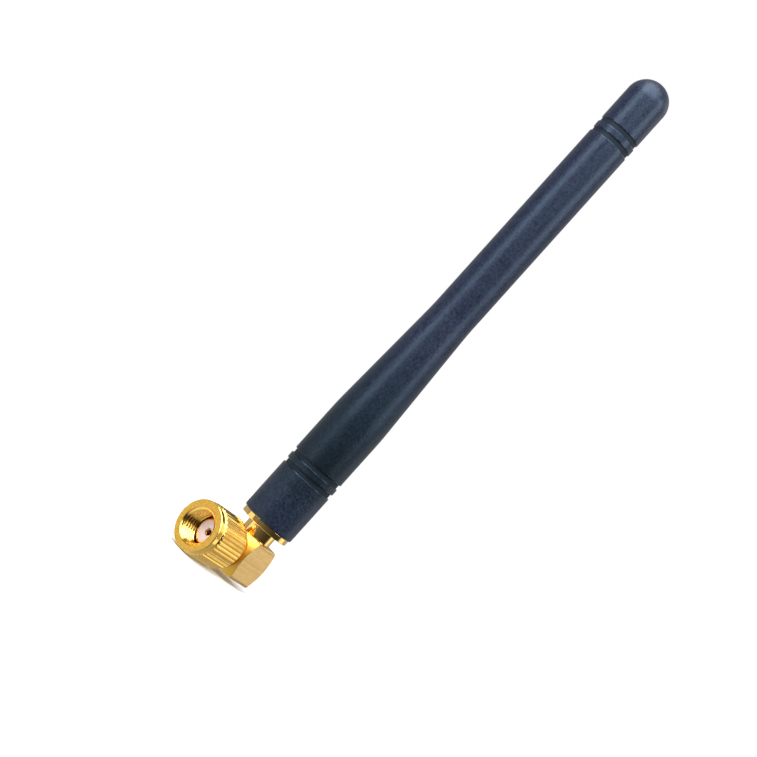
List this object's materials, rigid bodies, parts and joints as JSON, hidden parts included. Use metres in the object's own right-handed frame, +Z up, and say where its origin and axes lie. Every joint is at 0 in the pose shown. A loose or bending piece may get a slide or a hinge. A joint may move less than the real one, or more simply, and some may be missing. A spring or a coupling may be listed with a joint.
{
  "type": "right-angle whip antenna",
  "caption": "Straight rubber whip antenna on a right-angle gold plated coaxial plug, with a fluted coupling nut that spins freely on its barrel.",
  "frame": {"origin": "on the plug's axis, at the inner end of the coupling nut's thread", "axes": "+Z up along the whip, -Y out of the plug's mouth, X across the elbow"},
  "size_m": [0.0098, 0.0181, 0.108],
  "materials": {
    "gold_plate_nut": "bright gold plating, satin turned front face",
    "gold_plate": "bright gold plating",
    "gold_plate_satin": "gold plating over drawn bar, fine lengthwise lines",
    "spring_bronze": "satin",
    "gasket_rubber": "matte",
    "ptfe": "waxy matte",
    "solder": "satin",
    "copper": "satin",
    "tinned_braid": "fine woven wire",
    "cable_jacket": "semi-gloss",
    "board_laminate": "matte",
    "sleeve_rubber": "matte, fine grain"
  },
  "bodies": {
    "antenna": {"retaining_ring": "spring_bronze", "nut_gasket": "gasket_rubber", "plug_body": "gold_plate", "plug_insulator": "ptfe", "socket_contact": "gold_plate", "contact_joint": "solder", "elbow_block": "gold_plate_satin", "rear_cap": "gold_plate_satin", "neck_flange": "gold_plate", "coax_conductor": "copper", "coax_dielectric": "ptfe", "coax_braid": "tinned_braid", "coax_jacket": "cable_jacket", "radiator_board": "board_laminate", "lower_arm": "copper", "upper_arm": "copper", "feed_joint": "solder", "screen_joint": "solder", "antenna_sleeve": "sleeve_rubber"},
    "nut": {"coupling_nut": "gold_plate_nut"}
  },
  "joints": [
    {"name": "nut_spin", "type": "hinge", "parent": "antenna", "child": "nut", "pos_m": [0, 0, 0], "axis": [0, -1, 0], "continuous": true}
  ]
}
